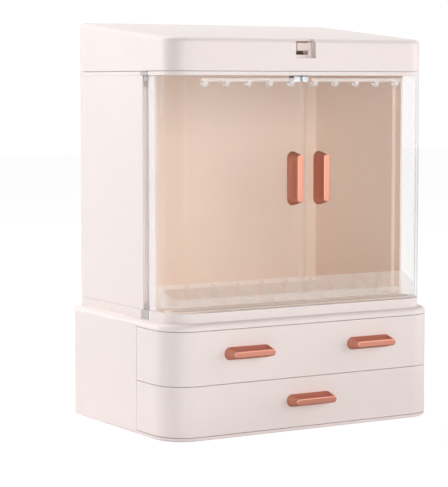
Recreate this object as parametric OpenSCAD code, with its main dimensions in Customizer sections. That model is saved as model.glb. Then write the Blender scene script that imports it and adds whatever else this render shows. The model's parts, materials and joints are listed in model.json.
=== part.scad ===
// Dustproof makeup organizer: a base with two wrap-round drawers, a cabinet with two clear
// corner doors, and a sloping lid hinged at the back.
// X runs to the right, Y to the back and Z up. The origin is the middle of the underside.

/* [Body] */
// Width of the base across its sides
body_w = 287; // [250:1:350]
// Depth of the base from front to back, without the pulls
body_d = 184; // [170:1:230]
// Radius of the base's two front corners, seen from above
front_corner_r = 29; // [26:1:42]
// Radius of the two back corners, seen from above
back_corner_r = 5; // [3:0.5:9]
// Thickness of the moulded walls of base, cabinet and lid
wall_t = 2.4; // [2:0.1:3]
// How far cabinet, doors and lid stand in from the base at the front and sides
cabinet_inset = 7.2; // [5.5:0.1:9]
// Depth of the wrap-round fronts, from the front face to the seam in the side
wrap_d = 60.5; // [56:1:80]
// Width of the fine seams round drawers, doors and lid
seam = 0.4; // [0.3:0.05:0.7]

/* [Base] */
// Height of the floor plate that shows below the lower drawer
floor_h = 3; // [2.5:0.1:5]
// Radius of the floor plate's rounded lower edge
floor_edge_r = 1.8; // [0.5:0.1:2.2]
// Height of the lower drawer's front
lower_front_h = 45; // [38:1:60]
// Height of the upper drawer's front
upper_front_h = 48; // [40:1:60]
// Height of the rounded shoulder above the drawers
shoulder_h = 6; // [5:0.5:9]
// Radius of the shoulder
shoulder_r = 4.6; // [3:0.1:5]
// Height of the raised platform that carries the cabinet
platform_h = 8.5; // [7:0.5:14]

/* [Drawers] */
// Thickness of the drawer fronts
front_t = 2.4; // [2:0.1:3.5]
// Thickness of the drawer boxes
box_t = 1.8; // [1.4:0.1:2.6]
// Thickness of the shelf between the drawers
shelf_t = 2; // [1.6:0.1:3]
// Width of the rails that carry the shelf
rail_w = 4; // [3:0.1:6]
// Thickness of the shelf rails
rail_t = 2; // [1.5:0.1:3]
// Free space beside a drawer box, between it and the rails
side_play = 0.8; // [0.5:0.1:1.5]
// Free space below a drawer box
bottom_play = 0.3; // [0.2:0.05:0.6]
// Free space above the lower drawer box
top_play = 2; // [1:0.1:4]
// Free space behind a drawer box
back_play = 4; // [2:0.5:10]
// Depth of the upper drawer box's rim below the drawer front's top
upper_rim_drop = 3; // [2:0.5:8]
// Length of the stop lugs and nubs along the drawer's travel
stop_l = 3; // [2:0.5:5]
// Height of the stop lugs and nubs
stop_h = 6; // [4:0.5:9]
// Depth of the stop lugs below the drawer box's rim
stop_drop = 1; // [0.5:0.5:3]

/* [Cabinet] */
// Height of the cabinet walls and of the door opening
cabinet_h = 206; // [170:1:240]
// How far the cabinet's side walls reach forward behind the doors
wall_reach = 17; // [14:0.5:24]
// Thickness of that reaching lip
reach_t = 1.2; // [1:0.1:2]
// Free space between the lip and the door's side
reach_play = 0.4; // [0.3:0.1:1]
// Thickness of the inner lining
liner_t = 1; // [0.8:0.1:1.8]
// Thickness of the frame on top of the cabinet
frame_h = 3.5; // [3:0.1:5]
// Depth of the frame's front rail above the doors
front_rail_d = 18; // [17.5:0.5:24]
// Height of the lip that locates the lid
lip_h = 4; // [2:0.5:5]
// Thickness of that lip
lip_t = 1.6; // [1.2:0.1:2.2]
// Free space between the lip and the lid's wall
lip_play = 0.7; // [0.5:0.05:1.2]

/* [Doors] */
// Thickness of the clear door panels
door_t = 2.2; // [1.8:0.1:3]
// Free space above and below each door
door_play = 0.6; // [0.4:0.1:1]
// Gap between the two doors where they meet
meeting_gap = 1; // [0.6:0.1:2]
// Free space between a door's side and the cabinet wall behind it
door_pocket = 2.7; // [2.6:0.1:4]
// Depth of the stiffening flanges behind a door's front
flange_d = 5; // [3:0.5:7]
// Thickness of those flanges
flange_t = 1.8; // [1.2:0.1:2.4]
// Radius of the door hinge pins
hinge_pin_r = 1.2; // [0.8:0.1:1.4]
// Length of a hinge pin inside the door, and again inside the bracket
hinge_pin_l = 5; // [3:0.5:7]
// Outer radius of the bosses and collars round the hinge pins
boss_r = 2.3; // [2:0.1:2.5]
// Height of those bosses
boss_h = 6; // [4:0.5:8]
// Gap between the hinge boss and the cabinet's side seam
boss_gap = 1; // [0.8:0.1:2]
// Length of the hinge brackets along the side
bracket_l = 13; // [8:0.5:18]
// Height of the lower hinge brackets
bracket_h = 8; // [7:0.5:12]
// How far the hinge brackets stand proud of the cabinet side
bracket_proud = 0.5; // [0.2:0.1:1]

/* [Hooks] */
// Number of hooks behind each door
hook_count = 5; // [3:1:5]
// Distance of the first hook from the middle of the cabinet
hook_start = 12.5; // [12:0.5:18]
// Distance of the last hook from the side of the cabinet
hook_side = 34.5; // [30:0.5:60]
// Width of a hook
hook_w = 4.5; // [3:0.5:7]
// Outer radius of a hook's bend
hook_r = 3.6; // [3:0.1:5]
// Thickness of a hook and of the rail that carries it
hook_t = 1.6; // [1.2:0.1:2.2]
// Height of the hook rail
hook_rail_h = 3; // [2:0.5:6]

/* [Tray] */
// Depth of the compartment tray behind the doors
tray_d = 27; // [22:1:30]
// Height of the tray's back wall
tray_back_h = 21.5; // [18:0.5:40]
// Height of the tray's front wall
tray_front_h = 10.5; // [8:0.5:17]
// Thickness of the tray's walls and dividers
tray_t = 1.5; // [1:0.1:2]
// Number of dividers
divider_count = 9; // [5:1:11]
// Width of the two end compartments
end_cell_w = 29; // [24:1:40]

/* [Pulls] */
// Length of a pull
pull_l = 48; // [46:0.5:64]
// How far a pull stands out
pull_d = 13; // [11:0.5:18]
// Width of a pull where it is fixed
pull_back_w = 11.4; // [9:0.1:14]
// Width of a pull's front face
pull_front_w = 6.2; // [5:0.1:8]
// Depth of the finger grooves in a pull's two long sides
groove_d = 0.6; // [0.3:0.1:1.4]
// Length of the cheek left at each end of a groove
cheek_l = 7.5; // [7:0.5:11]
// Height of the door pulls' middle above the platform
door_pull_z = 115; // [80:1:140]
// Distance of the door pulls from the middle
door_pull_x = 14; // [10:0.5:22]
// Height of the upper drawer pulls above that drawer front's lower edge
upper_pull_z = 26.5; // [12:0.5:34]
// Distance of the upper drawer pulls from the middle
upper_pull_x = 65; // [40:1:80]
// Height of the lower drawer pull above that drawer front's lower edge
lower_pull_z = 24.5; // [12:0.5:32]
// Distance between a pull's two screws
pull_screw_pitch = 32; // [24:1:36]
// Radius of the pull screws
pull_screw_r = 1.5; // [1.2:0.1:1.6]
// How far a pull screw reaches into the pull
pull_screw_l = 8; // [5:0.5:9]

/* [Lid] */
// Height of the lid's front
lid_front_h = 28.6; // [26:0.1:36]
// Height of the lid's back
lid_back_h = 46; // [38:0.5:60]
// Radius of the lid's top edges
lid_edge_r = 4; // [2:0.5:5]
// Distance of the lid hinges from the middle
lid_hinge_x = 85; // [50:1:105]
// Radius of the lid hinges' knuckles
knuckle_r = 3.5; // [3:0.1:4.5]
// Half the length of a lid hinge's middle knuckle
knuckle_half = 10; // [6:0.5:15]
// Length of each outer knuckle
outer_knuckle_l = 9.6; // [5:0.1:14]
// Radius of the lid hinge pins
lid_pin_r = 1.5; // [1:0.1:1.8]
// Radial play of turning pins
pin_play = 0.05; // [0.03:0.01:0.08]

/* [Latch] */
// Width of the latch pocket in the lid's front
pocket_w = 21; // [18:0.5:28]
// Depth of the latch pocket
pocket_d = 8; // [7:0.5:10]
// Height of the latch pocket's lower edge above the lid's lower edge
pocket_z = 12; // [11:0.5:15]
// Thickness of the latch pocket's insert
insert_t = 1.5; // [1.2:0.1:1.8]
// Width of the window behind the latch tab
window_w = 14.4; // [12:0.2:16]
// Free space round the tab in its window
tab_play = 0.4; // [0.3:0.05:0.6]
// How far the tab stands out into the pocket
tab_reach = 4.6; // [1.6:0.1:6]
// Height of the dark slot left open below the tab
slot_h = 3.6; // [3:0.1:5]
// Radius of the latch's pin
latch_pin_r = 1; // [0.8:0.1:1.2]
// Gap between the latch's beak and the strike
bite_gap = 0.4; // [0.3:0.05:0.6]

/* [Catch] */
// Width of the double magnetic catch above the doors
catch_w = 16; // [14:0.5:18]
// Depth of the catch
catch_d = 7; // [5:0.5:9]
// Height of the catch
catch_h = 5; // [4:0.5:7]
// Thickness of the steel plates on the doors
plate_t = 0.8; // [0.5:0.1:1.2]
// Gap between catch and plates
catch_gap = 0.3; // [0.2:0.05:0.5]

/* [Screws] */
// Radius of the screws that hold floor and cabinet to the base
screw_r = 1.2; // [1:0.1:1.3]
// Radius of those screws' heads
screw_head_r = 2.1; // [1.8:0.1:2.3]
// Height of all screw heads
screw_head_h = 1.4; // [1:0.1:1.6]
// Length of those screws
screw_l = 10; // [8:0.5:14]
// Distance of the front pair from the side seam
screw_front_y = 14; // [10:1:24]
// Distance of the back pair from the back face
screw_back_y = 22; // [16:1:40]

/* [Hidden] */
$fn = 96;

white = [0.95, 0.93, 0.92];
tan_lining = [0.85, 0.74, 0.66];
clear = [0.9, 0.93, 0.95, 0.35];
copper = [0.83, 0.52, 0.4];
steel = [0.72, 0.73, 0.75];
grey = [0.7, 0.68, 0.68];
dark = [0.2, 0.2, 0.22];
beige = [0.9, 0.84, 0.8];

over = 1;                // how far cutting shapes run past what they cut
sliver = 0.01;           // thickness of the slices that a hull joins

// Heights of the seams, from the table up
z_lower = floor_h;
z_upper = z_lower + lower_front_h;
z_shoulder = z_upper + upper_front_h;
z_ledge = z_shoulder + shoulder_h;
z_deck = z_ledge + platform_h;
z_frame = z_deck + cabinet_h;
z_lid = z_frame + frame_h;

// Planes of the base and the cabinet
half_w = body_w / 2;
y_front = -body_d / 2;
y_back = body_d / 2;
y_seam = y_front + wrap_d;
cab_half = half_w - cabinet_inset;
cab_front = y_front + cabinet_inset;
inner_out = cab_half - door_t - door_pocket;      // outer face of the walls behind the doors
inner_half = inner_out - wall_t;                  // half width inside the cabinet walls
lining_half = inner_half - liner_t;               // half width inside the lining
y_lining = y_back - wall_t - liner_t;
y_wall_front = y_seam - wall_reach;
reach_out = cab_half - door_t - reach_play;       // outer face of the reaching lip

// Drawers
shelf_bottom = z_upper - shelf_t / 2;
shelf_top = z_upper + shelf_t / 2;
box_half = half_w - wall_t - rail_w - side_play;
box_back = y_back - wall_t - back_play;
stop_reach = rail_w - side_play;
lower_box_z = floor_h + bottom_play;
lower_box_top = shelf_bottom - top_play;
upper_box_z = shelf_top + bottom_play;
upper_box_top = z_shoulder - upper_rim_drop;
lower_stop_z = lower_box_top - stop_drop - stop_h;
upper_stop_z = upper_box_top - stop_drop - stop_h;

// Doors
door_z0 = z_deck + door_play;
door_z1 = z_frame - door_play;
pivot_x = cab_half - boss_r;
pivot_y = y_seam - boss_gap - boss_r;
y_step = pivot_y - boss_r - 0.6;                  // where the walls step round the hinge bosses
door_back = cab_front + door_t;                   // inner face of a door's front
flange_back = door_back + flange_d;
flange_inset = cabinet_inset + door_t + flange_d;
flange_end = y_front + front_corner_r - 6;        // the flanges stop part way round the corner
collar_h = boss_h - 2;
collar_z = door_z1 - collar_h;

// Tray
tray_inset = flange_inset + 1.2;
tray_front = y_front + tray_inset;
tray_side_inset = cabinet_inset + door_t + 1.4;
tray_z = z_deck + liner_t;
tray_foot = door_z0 + flange_t + 0.5 - tray_z;    // the foot lifts the tray over the doors' flanges
divider_pitch = 2 * (half_w - tray_side_inset - end_cell_w) / (divider_count - 1);

// Lid and latch
lid_z = z_lid + seam;
lid_slope = (lid_back_h - lid_front_h) / (y_back - cab_front);
lid_axis_y = y_back + knuckle_r + 0.3;
pocket_bottom = z_lid + pocket_z;
pocket_back = cab_front + pocket_d;
insert_back = pocket_back + insert_t;
insert_top = z_lid + lid_front_h - wall_t;
latch_r = 2.2;                                    // radius of the lever's barrel
stem_t = 2;
latch_y = insert_back + latch_r + 0.9;
latch_z = pocket_bottom + 2.5;
window_z = pocket_bottom + 3;
tab_z = window_z + slot_h;
tab_top = insert_top - 0.8;
stem_half = 5;
stem_front = latch_y - stem_t / 2;
stem_bottom = z_lid + 2.5;
beak_l = 1.2;
beak_h = 2;
strike_front = stem_front + stem_t + beak_l + bite_gap;
ear_x = pocket_w / 2 - 1.8;
ear_t = 1.5;
spring_wire_r = 0.3;
spring_r = latch_pin_r + spring_wire_r + 0.15;
spring_turns = 2;

screw_places = [for (side = [-1, 1]) for (y = [y_seam + screw_front_y, y_back - screw_back_y]) [side, y]];
floor_boss_x = half_w - wall_t - rail_w / 2 + 0.4;
cabinet_boss_x = (inner_half + cab_half - wall_t) / 2;
floor_boss_r = rail_w / 2;
cabinet_boss_r = (cab_half - wall_t - inner_half) / 2 - 0.05;

// ---- Outlines ----

// The body's outline from above, set in by `inset` at front and sides and by `back` at the back
module plan(inset = 0, back = 0) {
    half = half_w - inset;
    y0 = y_front + inset;
    y1 = y_back - back;
    rf = max(front_corner_r - inset, 1);
    rb = max(back_corner_r - back, 1);
    translate([-half, y0 + rf]) square([2 * half, y1 - rb - y0 - rf]);
    translate([-half + rf, y0]) square([2 * (half - rf), rf + over]);
    translate([-half + rb, y1 - rb - over]) square([2 * (half - rb), rb + over]);
    for (side = [-1, 1]) {
        translate([side * (half - rf), y0 + rf]) circle(rf);
        translate([side * (half - rb), y1 - rb]) circle(rb);
    }
}

// A wall that follows the outline
module band(outer, inner, back_outer = 0, back_inner = 0) {
    difference() {
        plan(outer, back_outer);
        plan(inner, back_inner);
    }
}

// A rectangle between two corners
module field(x0, x1, y0, y1) {
    translate([x0, y0]) square([x1 - x0, y1 - y0]);
}

// A block between two corners
module block(x0, x1, y0, y1, z0, z1) {
    translate([x0, y0, z0]) cube([x1 - x0, y1 - y0, z1 - z0]);
}

// Raises an outline from z0 to z1
module rise(z0, z1) {
    translate([0, 0, z0]) linear_extrude(z1 - z0) children();
}

// A rod along X, centred on x
module rod_x(x, y, z, r, l) {
    translate([x - l / 2, y, z]) rotate([0, 90, 0]) cylinder(r = r, h = l);
}

// A rod along Y that starts at y and runs towards the back
module rod_y(x, y, z, r, l) {
    translate([x, y + l, z]) rotate([90, 0, 0]) cylinder(r = r, h = l);
}

module both_sides() {
    children();
    mirror([1, 0, 0]) children();
}

// Sweeps a profile along the sides and front: x is the depth in from the base's outer face, y the height
module sweep_rim(profile) {
    turned = [for (p = profile) [front_corner_r - p.x, p.y]];
    side_end = y_front + front_corner_r;
    both_sides() {
        translate([-half_w, y_back, 0]) rotate([90, 0, 0]) linear_extrude(y_back - side_end) polygon(profile);
        translate([-half_w + front_corner_r, side_end, 0]) rotate([0, 0, 180])
            rotate_extrude(angle = 90) polygon(turned);
    }
    translate([-half_w + front_corner_r, y_front, 0]) rotate([90, 0, 90])
        linear_extrude(2 * (half_w - front_corner_r)) polygon(profile);
}

// Points on an arc
function arc(cx, cy, r, a0, a1, steps = 8) =
    [for (i = [0:steps]) let (a = a0 + (a1 - a0) * i / steps) [cx + r * cos(a), cy + r * sin(a)]];

// ---- Base ----

module shoulder() {
    intersection() {
        sweep_rim(concat([[cabinet_inset + wall_t, z_shoulder], [0, z_shoulder]],
            arc(shoulder_r, z_ledge - shoulder_r, shoulder_r, 180, 90),
            [[cabinet_inset + wall_t, z_ledge]]));
        rise(z_shoulder, z_ledge) plan();
    }
}

module base_shell() {
    color(white) difference() {
        union() {
            rise(z_lower, z_shoulder) intersection() {
                band(0, wall_t, 0, wall_t);
                field(-half_w, half_w, y_seam, y_back);
            }
            shoulder();
            rise(z_shoulder, z_deck) band(cabinet_inset, cabinet_inset + wall_t, 0, wall_t);
            rise(z_deck - wall_t, z_deck) plan(cabinet_inset, 0);
            both_sides() {
                block(-half_w + wall_t - sliver, -half_w + wall_t + rail_w, y_seam, y_back - wall_t,
                    shelf_bottom - rail_t, shelf_bottom);
                for (z = [lower_stop_z, upper_stop_z])
                    block(-half_w + wall_t - sliver, -half_w + wall_t + stop_reach, y_seam, y_seam + stop_l,
                        z, z + stop_h);
            }
            for (p = screw_places) translate([p[0] * floor_boss_x, p[1], floor_h])
                cylinder(r = floor_boss_r, h = screw_l);
        }
        for (p = screw_places) {
            translate([p[0] * floor_boss_x, p[1], floor_h - over]) cylinder(r = screw_r, h = screw_l + over);
            translate([p[0] * cabinet_boss_x, p[1], z_deck - wall_t - over])
                cylinder(r = screw_r, h = wall_t + 2 * over);
        }
        both_sides() lower_bracket_space(over);
    }
}

module base_floor() {
    color(white) difference() {
        intersection() {
            union() {
                sweep_rim(concat([[cabinet_inset, floor_h], [0, floor_h]],
                    arc(floor_edge_r, floor_edge_r, floor_edge_r, 180, 270), [[cabinet_inset, 0]]));
                rise(0, floor_h) {
                    plan(cabinet_inset - sliver, 0);
                    field(-half_w + cabinet_inset - sliver, half_w - cabinet_inset + sliver,
                        y_back - back_corner_r - over, y_back);
                }
            }
            rise(-over, floor_h) plan();
        }
        for (p = screw_places) translate([p[0] * floor_boss_x, p[1], -over]) {
            cylinder(r = screw_r, h = floor_h + 2 * over);
            cylinder(r = screw_head_r, h = screw_head_h + over);
        }
    }
}

module drawer_shelf() {
    color(white) rise(shelf_bottom, shelf_top) intersection() {
        plan(front_t + seam, wall_t);
        field(-half_w + wall_t + seam, half_w - wall_t - seam, y_front, y_back);
    }
}

// A screw that points up, with its head at the bottom
module screw_up(r, head_r, l) {
    cylinder(r = r, h = l);
    cylinder(r = head_r, h = screw_head_h);
}

module floor_screws() {
    color(steel) for (p = screw_places) translate([p[0] * floor_boss_x, p[1], 0])
        screw_up(screw_r, screw_head_r, floor_h + screw_l - over);
}

module cabinet_screws() {
    color(steel) for (p = screw_places)
        translate([p[0] * cabinet_boss_x, p[1], z_deck - wall_t - screw_head_h])
            screw_up(screw_r, screw_head_r, screw_head_h + wall_t + screw_l - over);
}

// ---- Drawers ----

module box_plan(t = 0) {
    intersection() {
        plan(front_t + t, wall_t + back_play + t);
        field(-box_half + t, box_half - t, y_front, y_back);
    }
}

// An open drawer box with a stop lug at each back corner
module drawer_box(z0, z1, pull_xs, pull_z) {
    color(white) difference() {
        union() {
            rise(z0, z1) box_plan();
            both_sides() block(-box_half - stop_reach, -box_half + box_t, box_back - stop_l,
                box_back, z1 - stop_drop - stop_h, z1 - stop_drop);
        }
        rise(z0 + box_t, z1 + over) box_plan(box_t);
        pull_holes(pull_xs, pull_z);
    }
}

// The curved drawer front, with a web at each end that closes the gap to the box
module drawer_front(z0, z1, web_z0, web_z1, pull_xs, pull_z) {
    color(white) difference() {
        union() {
            rise(z0, z1) intersection() {
                band(0, front_t, 0, 0);
                field(-half_w, half_w, y_front, y_seam - seam);
            }
            both_sides() block(-half_w + front_t - sliver, -box_half, y_seam - seam - box_t, y_seam - seam,
                web_z0, web_z1);
        }
        pull_holes(pull_xs, pull_z);
    }
}

module pull_holes(xs, z) {
    for (x = xs, side = [-1, 1])
        rod_y(x + side * pull_screw_pitch / 2, y_front - over, z, pull_screw_r,
            front_t + box_t + 2 * over);
}

module upper_drawer_box() {
    drawer_box(upper_box_z, upper_box_top, [-upper_pull_x, upper_pull_x], z_upper + upper_pull_z);
}
module lower_drawer_box() {
    drawer_box(lower_box_z, lower_box_top, [0], z_lower + lower_pull_z);
}
module upper_drawer_front() {
    drawer_front(z_upper + seam / 2, z_shoulder - seam, upper_box_z, upper_box_top,
        [-upper_pull_x, upper_pull_x], z_upper + upper_pull_z);
}
module lower_drawer_front() {
    drawer_front(z_lower + seam, z_upper - seam / 2, lower_box_z, lower_box_top, [0],
        z_lower + lower_pull_z);
}

// ---- Pulls ----

// A bar pull along X with its fixing face at y = 0: it narrows towards the front, its ends are half
// rounds, and a shallow finger groove runs along each long side
module pull() {
    edge_r = 1.2;
    hb = pull_back_w / 2;
    hf = pull_front_w / 2;
    straight_l = pull_l - pull_back_w;
    groove_l = pull_l - 2 * cheek_l;
    groove_r = (pow(pull_d / 2 - 1, 2) + pow(groove_d, 2)) / (2 * groove_d);
    tilt = atan((hb - hf) / pull_d);
    half = concat([[0, 0], [hb, 0]], arc(hf - edge_r, pull_d - edge_r, edge_r, tilt, 90, 4), [[0, pull_d]]);
    last = len(half) - 1;
    color(copper) difference() {
        union() {
            translate([-straight_l / 2, 0, 0]) rotate([90, 0, 90]) linear_extrude(straight_l)
                polygon(concat([for (i = [1:last]) [-half[i][1], half[i][0]]],
                    [for (i = [last - 1:-1:1]) [-half[i][1], -half[i][0]]]));
            for (side = [-1, 1]) translate([side * straight_l / 2, 0, 0]) rotate([90, 0, 0])
                rotate([0, 0, -side * 90]) rotate_extrude(angle = 180) polygon(half);
        }
        for (side = [-1, 1]) translate([0, -pull_d / 2, side * (hb + hf) / 2]) rotate([side * tilt, 0, 0])
            rod_x(0, 0, side * (groove_r - groove_d), groove_r, groove_l);
        for (side = [-1, 1])
            rod_y(side * pull_screw_pitch / 2, -pull_screw_l, 0, pull_screw_r, pull_screw_l + over);
    }
}

// The pull's two screws: the heads bear on a wall of thickness t behind the fixing face
module pull_screws(t) {
    color(steel) for (side = [-1, 1]) {
        rod_y(side * pull_screw_pitch / 2, -pull_screw_l, 0, pull_screw_r, pull_screw_l + t + sliver);
        rod_y(side * pull_screw_pitch / 2, t, 0, pull_screw_r + 1.3, screw_head_h);
    }
}

module at_upper(side) { translate([side * upper_pull_x, y_front, z_upper + upper_pull_z]) children(); }
module at_lower() { translate([0, y_front, z_lower + lower_pull_z]) children(); }
module at_door(side) {
    translate([side * door_pull_x, cab_front, z_deck + door_pull_z]) rotate([0, 90, 0]) children();
}

module upper_left_pull() { at_upper(-1) pull(); }
module upper_right_pull() { at_upper(1) pull(); }
module upper_pull_screws() { for (side = [-1, 1]) at_upper(side) pull_screws(front_t + box_t); }
module lower_pull() { at_lower() pull(); }
module lower_pull_screws() { at_lower() pull_screws(front_t + box_t); }

// ---- Cabinet ----

module cabinet_shell() {
    color(white) difference() {
        union() {
            rise(z_deck, z_frame) {
                intersection() {
                    band(cabinet_inset, cabinet_inset + wall_t, 0, wall_t);
                    field(-half_w, half_w, y_seam, y_back);
                }
                both_sides() {
                    field(-inner_out, -inner_half, y_step - reach_t, y_seam + wall_t);
                    field(-reach_out, -inner_half, y_step - reach_t, y_step);
                    field(-reach_out, -reach_out + reach_t, y_wall_front, y_step);
                    field(-cab_half, -inner_half, y_seam, y_seam + wall_t);
                }
            }
            for (p = screw_places) translate([p[0] * cabinet_boss_x, p[1], z_deck])
                cylinder(r = cabinet_boss_r, h = screw_l);
            both_sides() for (p = screw_places) block(-cab_half + wall_t - sliver, -cabinet_boss_x, p[1] - 1,
                p[1] + 1, z_deck, z_deck + screw_l);
        }
        for (p = screw_places) translate([p[0] * cabinet_boss_x, p[1], z_deck - over])
            cylinder(r = screw_r, h = screw_l + over + sliver);
    }
}

module cabinet_liner() {
    lip_half = reach_out - reach_t;
    color(tan_lining) {
        rise(z_deck, z_deck + liner_t) {
            field(-inner_half, inner_half, y_step - reach_t, y_back - wall_t);
            field(-lip_half, lip_half, y_wall_front, y_step - reach_t);
            intersection() {
                plan(tray_inset);
                field(-half_w, half_w, y_front, y_wall_front + over);
            }
        }
        rise(z_deck, z_frame) {
            field(-inner_half, inner_half, y_lining, y_back - wall_t);
            both_sides() {
                field(-inner_half, -lining_half, y_step - reach_t, y_back - wall_t);
                field(-lip_half, -lining_half, y_step - reach_t - liner_t, y_step - reach_t);
                field(-lip_half, -lip_half + liner_t, y_wall_front, y_step - reach_t);
            }
        }
    }
}

// A rectangle with rounded corners
module soft_field(x0, x1, y0, y1, r) {
    field(x0 + r, x1 - r, y0, y1);
    field(x0, x1, y0 + r, y1 - r);
    for (x = [x0 + r, x1 - r], y = [y0 + r, y1 - r]) translate([x, y]) circle(r);
}

module top_frame() {
    lip_inset = cabinet_inset + wall_t + lip_play;
    lip_back = wall_t + lip_play;
    color(white) difference() {
        union() {
            rise(z_frame, z_lid) difference() {
                plan(cabinet_inset, 0);
                soft_field(-lining_half, lining_half, cab_front + front_rail_d, y_back - lip_back - lip_t, 6);
            }
            rise(z_lid - sliver, z_lid + lip_h)
                band(lip_inset, lip_inset + lip_t, lip_back, lip_back + lip_t);
            for (hinge = [-1, 1], end = [-1, 1]) {
                x = hinge * lid_hinge_x + end * (knuckle_half + seam + outer_knuckle_l / 2);
                rod_x(x, lid_axis_y, z_lid, knuckle_r, outer_knuckle_l);
                block(x - outer_knuckle_l / 2, x + outer_knuckle_l / 2, y_back - over, lid_axis_y,
                    max(z_frame, z_lid - knuckle_r), z_lid);
            }
        }
        for (hinge = [-1, 1])
            rod_x(hinge * lid_hinge_x, lid_axis_y, z_lid, lid_pin_r,
                2 * (knuckle_half + seam + outer_knuckle_l) + 2 * over);
        both_sides() upper_bracket_space(over);
    }
}

module lid_hinge_pins() {
    color(steel) for (hinge = [-1, 1])
        rod_x(hinge * lid_hinge_x, lid_axis_y, z_lid, lid_pin_r, 2 * (knuckle_half + seam + outer_knuckle_l));
}

// ---- Hinge brackets ----

// The left lower bracket, let into the platform below the door; `open` runs the cut out past the platform
module lower_bracket_space(open = 0) {
    block(-cab_half - bracket_proud - open, -pivot_x + boss_r + 1, pivot_y - bracket_l / 2,
        pivot_y + bracket_l / 2, z_deck - bracket_h, z_deck + open);
}

module upper_bracket_space(open = 0) {
    block(-cab_half - bracket_proud - open, -pivot_x + boss_r + 1, pivot_y - bracket_l / 2,
        pivot_y + bracket_l / 2, z_frame - open, z_lid);
}

module left_brackets() {
    color(grey) difference() {
        union() {
            lower_bracket_space();
            upper_bracket_space();
        }
        translate([-pivot_x, pivot_y, z_deck - hinge_pin_l - door_play])
            cylinder(r = hinge_pin_r + pin_play, h = hinge_pin_l + door_play + over);
        translate([-pivot_x, pivot_y, z_frame - over])
            cylinder(r = hinge_pin_r + pin_play, h = frame_h + 2 * over);
    }
}

module left_hinge_brackets() { left_brackets(); }
module right_hinge_brackets() { mirror([1, 0, 0]) left_brackets(); }

// ---- Doors ----

module left_door_half() { field(-half_w, -meeting_gap / 2, y_front, pivot_y); }

module left_panel() {
    stile_x = -meeting_gap / 2 - door_t;
    color(clear) difference() {
        union() {
            rise(door_z0, door_z1) {
                intersection() {
                    band(cabinet_inset, cabinet_inset + door_t);
                    left_door_half();
                }
                field(stile_x, -meeting_gap / 2, door_back - sliver, flange_back);
            }
            for (z = [door_z0, door_z1 - flange_t]) rise(z, z + flange_t) intersection() {
                band(cabinet_inset + door_t / 2, flange_inset);
                field(-half_w, -meeting_gap / 2, y_front, flange_end);
            }
            for (z = [door_z0, collar_z - boss_h])
                translate([-pivot_x, pivot_y, z]) cylinder(r = boss_r, h = boss_h);
        }
        translate([-pivot_x, pivot_y, door_z0 - over]) cylinder(r = hinge_pin_r, h = hinge_pin_l + over);
        translate([-pivot_x, pivot_y, collar_z - hinge_pin_l])
            cylinder(r = hinge_pin_r, h = hinge_pin_l + over);
        translate([-pivot_x, pivot_y, collar_z]) cylinder(r = boss_r + over, h = collar_h + over);
        at_door(-1) for (side = [-1, 1])
            rod_y(side * pull_screw_pitch / 2, -over, 0, pull_screw_r, door_t + 2 * over);
    }
}

// The hinge pins; the upper one carries the grey collar that the panel is notched for
module left_pins() {
    color(steel) {
        translate([-pivot_x, pivot_y, door_z0 - hinge_pin_l - door_play / 2])
            cylinder(r = hinge_pin_r, h = 2 * hinge_pin_l + door_play / 2);
        translate([-pivot_x, pivot_y, collar_z - hinge_pin_l])
            cylinder(r = hinge_pin_r, h = z_lid - collar_z + hinge_pin_l);
        translate([-pivot_x, pivot_y, collar_z]) cylinder(r = boss_r, h = collar_h);
    }
}

module left_hooks() {
    rail_top = door_z1 - flange_t;
    rail_bottom = rail_top - hook_rail_h;
    bend_y = door_back + hook_r;
    hook_pitch = (cab_half - hook_side - hook_start) / (hook_count - 1);
    x_end = hook_start + (hook_count - 1) * hook_pitch + hook_w;
    color(clear) {
        block(-x_end, -hook_start + hook_w, door_back, door_back + hook_t, rail_bottom, rail_top);
        for (i = [0:hook_count - 1]) translate([-hook_start - i * hook_pitch - hook_w / 2, 0, 0])
            rotate([90, 0, 90]) linear_extrude(hook_w) difference() {
                union() {
                    translate([bend_y, rail_bottom - 1]) circle(hook_r);
                    field(door_back, door_back + hook_t, rail_bottom - 1, rail_bottom + sliver);
                }
                translate([bend_y, rail_bottom - 1]) circle(hook_r - hook_t);
                field(door_back + hook_t, bend_y + hook_r + over, rail_bottom - 1,
                    rail_bottom + hook_r + over);
            }
    }
}

module left_plate() {
    color(steel) block(-catch_w / 2 + 0.5, -meeting_gap / 2 - 0.5, flange_back, flange_back + plate_t,
        door_z1 - catch_h, door_z1 - 0.2);
}

module left_door_panel() { left_panel(); }
module left_hook_rail() { left_hooks(); }
module left_door_pull() { at_door(-1) pull(); }
module left_pull_screws() { at_door(-1) pull_screws(door_t); }
module left_strike_plate() { left_plate(); }
module left_hinge_pins() { left_pins(); }
module right_door_panel() { mirror([1, 0, 0]) left_panel(); }
module right_hook_rail() { mirror([1, 0, 0]) left_hooks(); }
module right_door_pull() { at_door(1) pull(); }
module right_pull_screws() { at_door(1) pull_screws(door_t); }
module right_strike_plate() { mirror([1, 0, 0]) left_plate(); }
module right_hinge_pins() { mirror([1, 0, 0]) left_pins(); }

// ---- Tray ----

module tray_plan(t = 0, inset = tray_side_inset) {
    intersection() {
        plan(inset + t);
        field(-half_w, half_w, tray_front + t, tray_front + tray_d - t);
    }
}

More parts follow.
